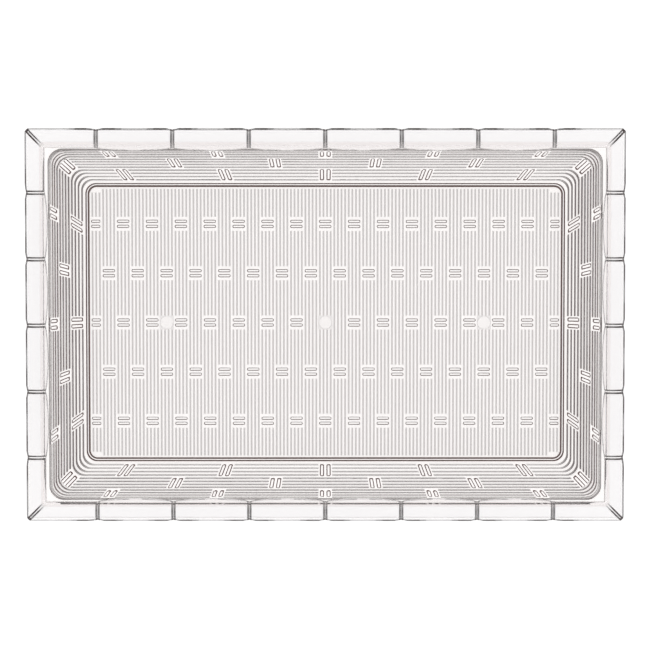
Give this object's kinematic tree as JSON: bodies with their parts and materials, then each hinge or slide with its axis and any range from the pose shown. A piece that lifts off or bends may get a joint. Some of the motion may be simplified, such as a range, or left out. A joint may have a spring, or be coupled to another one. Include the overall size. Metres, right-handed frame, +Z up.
{
  "type": "humidity tray",
  "caption": "Shallow clear plastic rectangular tray with dished ribbed walls, a foot ring and a bamboo-look capped rim, for pebbles and water under a plant pot",
  "frame": {"origin": "middle of the footprint, on the surface that the foot ring stands on", "axes": "+X along the length, +Y along the width towards the back rail, +Z up out of the tray"},
  "size_m": [0.45, 0.296, 0.035],
  "materials": {
    "clear_shell": "clear polished moulded plastic, faint warm grey tint",
    "clear_rail": "clear polished moulded plastic, faint warm grey tint"
  },
  "bodies": {
    "root": {"tray_shell": "clear_shell", "rim_rail_front": "clear_rail", "rim_rail_back": "clear_rail", "rim_rail_left": "clear_rail", "rim_rail_right": "clear_rail"}
  },
  "joints": []
}
